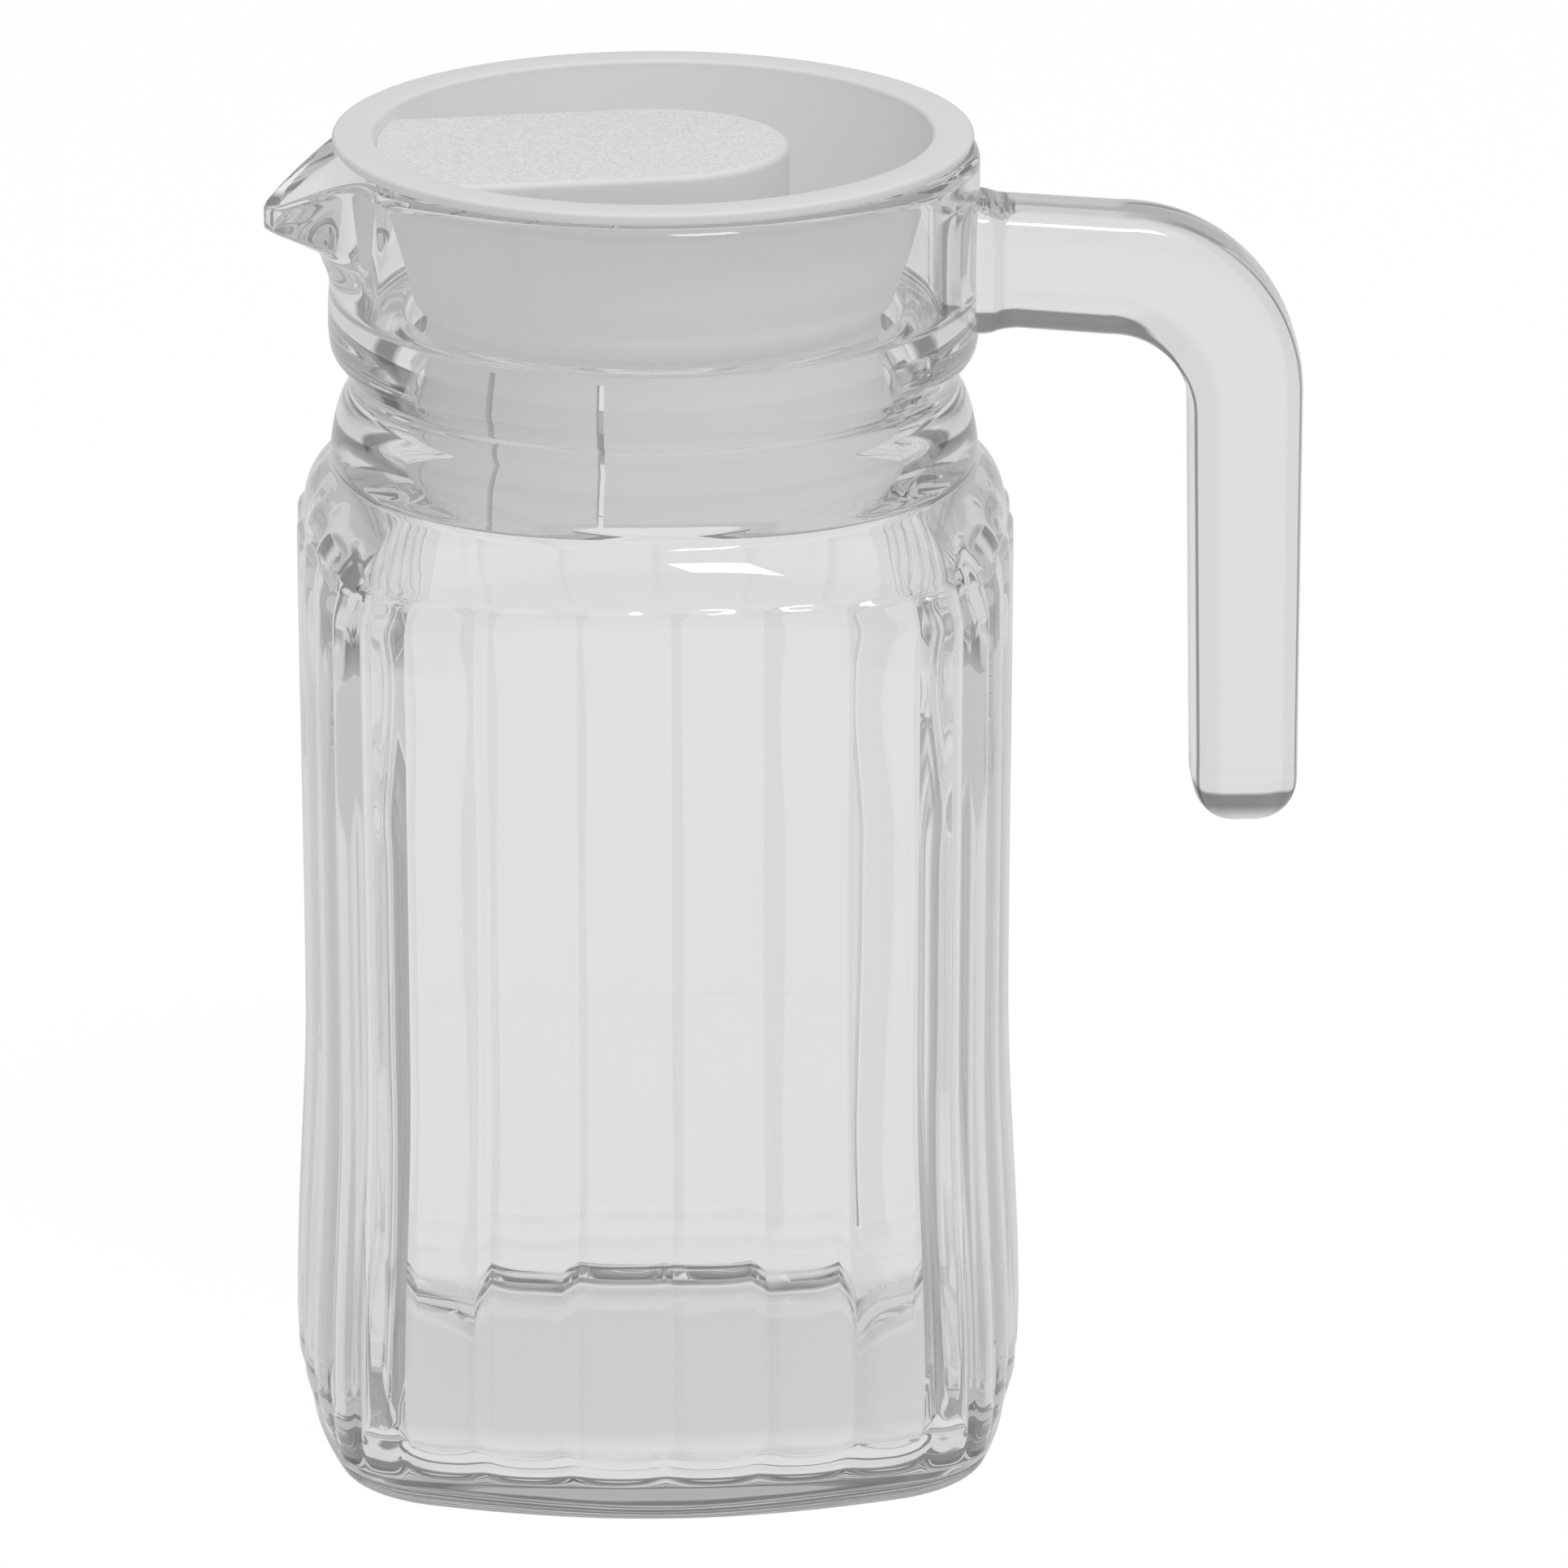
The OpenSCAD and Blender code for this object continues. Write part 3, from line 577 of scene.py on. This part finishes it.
def join_or_cut(piece, tool, operation):
    """Joins the tool to the piece or cuts it out of it, and removes the tool."""
    modifier = piece.modifiers.new(operation, "BOOLEAN")
    modifier.operation = operation
    modifier.object = tool
    modifier.solver = "MANIFOLD"
    settled(piece)
    bpy.data.objects.remove(tool)


def finish_mesh(piece, sharp_angle):
    """Merges doubles, shades smooth and keeps the edges sharper than the angle crisp."""
    work = bmesh.new()
    work.from_mesh(piece.data)
    bmesh.ops.remove_doubles(work, verts=work.verts, dist=0.002 * mm)
    work.to_mesh(piece.data)
    work.free()
    piece.data.shade_smooth()
    piece.data.set_sharp_from_angle(angle=math.radians(sharp_angle))


join_or_cut(jug, hook, "UNION")
finish_mesh(jug, 50)
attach(jug, "jug")
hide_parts("glass_body", "handle")

# Lid
# One injection moulding in white polyethylene: a flat rim, a deep cup with a hollow grip bar
# across it, a sealing side that stands out a little, and a thin slotted skirt below that
# springs against the neck. Walls are 1.3 mm, with small mould radii on every edge.
lid_low, lid_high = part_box("lid")
lid_top = lid_high.z
lid_rim_t = 1.5 * mm
lid_z = lid_top - lid_rim_t
lid_rim_r = 37.6 * mm
recess_r = 32.7 * mm
lid_t = 1.3 * mm
cup_low_r, cup_round, cup_h = 28.6 * mm, 3.6 * mm, 19.2 * mm
cup_z = lid_z - cup_h
cup_top_r = recess_r + lid_t / 4
seal_step = 0.5 * mm
pour_angle = math.radians(52)
skirt_top_r, skirt_low_r = 26.7 * mm, 28.6 * mm
skirt_z = lid_low.z
edge_round = 0.45 * mm
lid_turn = math.radians(8)


def arc(middle_r, middle_z, radius, start, end, n=6):
    """Profile points (r, z) on an arc, between two angles in degrees."""
    return [(middle_r + radius * math.cos(a), middle_z + radius * math.sin(a))
            for a in np.radians(np.linspace(start, end, n))]


def straight(first, second, n):
    """n profile points evenly between two others."""
    return [(mix(first[0], second[0], t), mix(first[1], second[1], t))
            for t in np.linspace(0, 1, n + 2)[1:-1]]


cup_turn_z = cup_z + cup_round
cup_turn_r = cup_low_r - cup_round
skirt_joins = math.degrees(math.asin((skirt_top_r - cup_turn_r) / cup_round))
e = edge_round
under_floor = [(r, cup_z) for r in (1 * mm, 8 * mm, 16 * mm, skirt_top_r - lid_t - e)]
skirt_in = [(skirt_top_r - lid_t, cup_z - e)] + straight(
    (skirt_top_r - lid_t, cup_z - e), (skirt_low_r - lid_t, skirt_z + e), 10)
skirt_edge = (arc(skirt_low_r - lid_t + e, skirt_z + e, e, 180, 270)
              + arc(skirt_low_r - e, skirt_z + e, e, 270, 360))
skirt_out = straight((skirt_low_r, skirt_z + e), (skirt_top_r, cup_z - lid_t), 10) + [
    (skirt_top_r, cup_z - lid_t), (skirt_top_r, cup_z)]
cup_out = arc(cup_turn_r, cup_turn_z, cup_round, skirt_joins - 90, 0, 9)
cup_out += straight((cup_low_r, cup_turn_z), (cup_top_r - e, lid_z - 1.5 * e), 24)
under_rim = arc(cup_top_r + e, lid_z - 1.5 * e, 1.5 * e, 180, 90, 6)
rim_draft = 0.3 * mm
rim_edge = (arc(lid_rim_r - rim_draft - e, lid_z + e, e, 270, 350) + arc(lid_rim_r - e, lid_top - e, e, 0, 90)
            + arc(recess_r + 1.3 * e, lid_top - 1.3 * e, 1.3 * e, 90, 180))
in_turn = cup_round - lid_t
wall_in = straight((recess_r, lid_top - 1.3 * e), (cup_turn_r + in_turn, cup_turn_z), 24)
cup_in = arc(cup_turn_r, cup_turn_z, in_turn, 0, -90, 9)
floor_top = [(r, cup_z + lid_t) for r in (16 * mm, 8 * mm, 1 * mm)]
profile = (under_floor + skirt_in + skirt_edge + skirt_out + cup_out + under_rim + rim_edge
           + wall_in + cup_in + floor_top)
is_sealing = np.array([cup_turn_z <= z <= lid_z - e and r > cup_low_r - e and p not in wall_in
                       for p in profile for r, z in [p]])

# Directions round the lid, closer together at the two steps of the sealing side
step_half = math.radians(1.9)
lid_turns = np.linspace(0, 2 * math.pi, 240, endpoint=False)
steps = [math.pi + side * pour_angle for side in (-1, 1)]
near_steps = [step + step_half * np.linspace(-1.2, 1.2, 13) for step in steps]
lid_turns = np.unique(np.concatenate([lid_turns, *near_steps]))
from_spout = np.abs(lid_turns - math.pi)
sealing = np.clip((from_spout - pour_angle) / step_half / 2 + 0.5, 0, 1)
# Two fine sealing beads run round the sealing side just under the rim
bead_zs = (lid_z - 1.3 * mm, lid_z - 2.4 * mm)
bead_h, bead_out = 0.35 * mm, 0.18 * mm
lid_points = []
for (r, z), seals in zip(profile, is_sealing):
    swell = seal_step + sum(bead_out * max(0, 1 - abs(z - b) / bead_h) for b in bead_zs) if seals else 0
    rr = r + swell * sealing * ease((z - cup_turn_z) / (4 * mm)) if seals else r + 0 * sealing
    level_z = np.full(len(lid_turns), z)
    lid_points.append(np.stack([rr * np.cos(lid_turns), rr * np.sin(lid_turns), level_z], axis=1))
n = len(lid_turns)
lid_faces = [(k * n + i, k * n + (i + 1) % n, (k + 1) * n + (i + 1) % n, (k + 1) * n + i)
             for k in range(len(profile) - 1) for i in range(n)]
start, end = len(profile) * n, (len(profile) - 1) * n
lid_faces += [(start, (i + 1) % n, i) for i in range(n)]
lid_faces += [(start + 1, end + i, end + (i + 1) % n) for i in range(n)]
lid_mesh = bpy.data.meshes.new("lid")
lid_mesh.from_pydata(np.vstack(lid_points + [[[0, 0, cup_z], [0, 0, cup_z + lid_t]]]).tolist(), [], lid_faces)

# White low-density polyethylene, injection moulded: satin. The plastic is slightly translucent, which this
# shader leaves out
plastic = bpy.data.materials.new("moulded_polyethylene")
plastic.use_nodes = True
tree = plastic.node_tree
tree.nodes.clear()
place = add(tree, "ShaderNodeTexCoord").outputs["Object"]
peel_size = 1.2 * mm
orange_peel = add(tree, "ShaderNodeTexNoise", {"Vector": place, "Scale": 1 / peel_size, "Detail": 2.0})
peel = add(tree, "ShaderNodeBump", {"Height": orange_peel.outputs[0], "Distance": 0.02 * mm, "Strength": 0.5})
skin = add(tree, "ShaderNodeBsdfPrincipled", {
    "Base Color": linear("e6e6e6"), "Roughness": 0.5, "IOR": 1.5, "Normal": peel.outputs[0]})
add(tree, "ShaderNodeOutputMaterial", {"Surface": skin.outputs[0]})

# The bar's top is spark-eroded in the mould, so it comes out with a fine dull stipple
stipple = bpy.data.materials.new("stippled_polyethylene")
stipple.use_nodes = True
tree = stipple.node_tree
tree.nodes.clear()
place = add(tree, "ShaderNodeTexCoord").outputs["Object"]
grain_size = 0.35 * mm
grain = add(tree, "ShaderNodeTexNoise", {"Vector": place, "Scale": 1 / grain_size, "Detail": 2.0})
grain_colour = ramp(tree, grain.outputs[0], [(0.35, "d8d8d8"), (0.5, "e2e2e2"), (0.65, "ececec")])
rough = add(tree, "ShaderNodeBump", {"Height": grain.outputs[0], "Distance": 0.12 * mm, "Strength": 0.8})
skin = add(tree, "ShaderNodeBsdfPrincipled", {
    "Base Color": grain_colour, "Roughness": 0.75, "IOR": 1.5, "Normal": rough.outputs[0]})
add(tree, "ShaderNodeOutputMaterial", {"Surface": skin.outputs[0]})

bar_w = 32 * mm
bar_top = lid_top - 1.4 * mm
bar_round = 0.9 * mm


def wall_r(z, t):
    """Radius of the cup's wall at a height, t inside its outer face."""
    if z >= cup_turn_z:
        return mix(cup_low_r, cup_top_r, (z - cup_turn_z) / (lid_z - cup_turn_z)) - t
    return cup_turn_r + math.sqrt(max((cup_round - t)**2 - (cup_turn_z - z)**2, 0))


def bar_block(name, levels, half, t):
    """A block in the outline of the grip bar through levels of (height, inset)."""
    points, n = [], 0
    for z, inset in levels:
        h, reach = half - inset, wall_r(z, t)
        left = math.asin(h / reach)
        outline = [(x, -h) for x in np.linspace(-reach * math.cos(left), 0, 10)[:-1]]
        outline += [(h * math.cos(a), h * math.sin(a)) for a in np.radians(np.linspace(-90, 90, 49))]
        outline += [(x, h) for x in np.linspace(0, -reach * math.cos(left), 10)[1:]]
        outline += [(-reach * math.cos(a), reach * math.sin(a)) for a in np.linspace(left, -left, 20)[1:-1]]
        points += [(x, y, z) for x, y in outline]
        n = len(outline)
    last = (len(levels) - 1) * n
    faces = [(k * n + i, k * n + (i + 1) % n, (k + 1) * n + (i + 1) % n, (k + 1) * n + i)
             for k in range(len(levels) - 1) for i in range(n)]
    faces += [tuple(range(n - 1, -1, -1)), tuple(last + i for i in range(n))]
    mesh = bpy.data.meshes.new(name)
    mesh.from_pydata(points, [], faces)
    return new_piece(name, mesh)


bar_levels = [(z, 0) for z in np.linspace(cup_z + lid_t / 2, bar_top - bar_round, 10)]
bar_levels += [(bar_top - bar_round * (1 - math.sin(t)), bar_round * (1 - math.cos(t)))
               for t in np.radians(np.linspace(0, 90, 7))[1:]]
hollow_levels = [(z, 0) for z in np.linspace(cup_z - 1 * mm, bar_top - lid_t - 0.5 * mm, 10)]
hollow_levels += [(bar_top - lid_t, 0.5 * mm)]
lid = new_piece("lid_plastic", lid_mesh)
join_or_cut(lid, bar_block("bar", bar_levels, bar_w / 2, lid_t / 2), "UNION")
join_or_cut(lid, bar_block("bar_hollow", hollow_levels, bar_w / 2 - lid_t, 1.1 * lid_t), "DIFFERENCE")

# The slots in the skirt's pouring side are a row of thin blades in the mould
blades, given = new_tree("slot_blades", [
    ("Geometry", "NodeSocketGeometry"), ("Count", "NodeSocketInt"), ("Pitch", "NodeSocketFloat"),
    ("Blade", "NodeSocketVector"), ("Place", "NodeSocketVector"), ("Plastic", "NodeSocketMaterial")])
posts = add(blades, "GeometryNodeMeshLine", {"Count": given["Count"], "Offset": (0, 0, 0)}).outputs[0]
blade = add(blades, "GeometryNodeMeshCube", {"Size": given["Blade"]}).outputs[0]
blade = add(blades, "GeometryNodeTransform", {"Geometry": blade, "Translation": given["Place"]}).outputs[0]
number = add(blades, "GeometryNodeInputIndex").outputs[0]
span = add(blades, "ShaderNodeMath", {0: given["Count"], 1: 1.0}, operation="SUBTRACT").outputs[0]
half_span = add(blades, "ShaderNodeMath", {0: span, 1: 0.5}, operation="MULTIPLY").outputs[0]
step_no = add(blades, "ShaderNodeMath", {0: number, 1: half_span}, operation="SUBTRACT").outputs[0]
heading = add(blades, "ShaderNodeMath", {0: step_no, 1: given["Pitch"], 2: math.pi},
              operation="MULTIPLY_ADD").outputs[0]
turned = add(blades, "ShaderNodeCombineXYZ", {"Z": heading}).outputs[0]
row = add(blades, "GeometryNodeInstanceOnPoints",
          {"Points": posts, "Instance": blade, "Rotation": turned}).outputs[0]
whole = add(blades, "GeometryNodeRealizeInstances", {"Geometry": row}).outputs[0]
dressed = add(blades, "GeometryNodeSetMaterial", {"Geometry": whole, "Material": given["Plastic"]}).outputs[0]
add(blades, "NodeGroupOutput", {"Geometry": dressed})

slot_w = 0.8 * mm
slot_top = cup_z - 1.5 * lid_t
slot_low = skirt_z - 1 * mm
cutter = grown(new_piece("slot_cutter", bpy.data.meshes.new("slot_cutter")), blades, {
    "Count": 6, "Pitch": math.radians(27.4), "Blade": (4 * lid_t, slot_w, slot_top - slot_low),
    "Place": (skirt_top_r, 0, (slot_top + slot_low) / 2), "Plastic": plastic})
join_or_cut(lid, cutter, "DIFFERENCE")

turn_about = [(v.co.x * math.cos(lid_turn) - v.co.y * math.sin(lid_turn),
               v.co.x * math.sin(lid_turn) + v.co.y * math.cos(lid_turn), v.co.z)
              for v in lid.data.vertices]
lid.data.vertices.foreach_set("co", np.array(turn_about, np.float32).ravel())
finish_mesh(lid, 35)
lid.data.materials.clear()
lid.data.materials.append(plastic)
lid.data.materials.append(stipple)
for face in lid.data.polygons:
    on_bar = face.normal.z > 0.95 and abs(face.center.z - bar_top) < 0.1 * mm
    face.material_index = 1 if on_bar else 0
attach(lid, "lid")
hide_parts("lid")
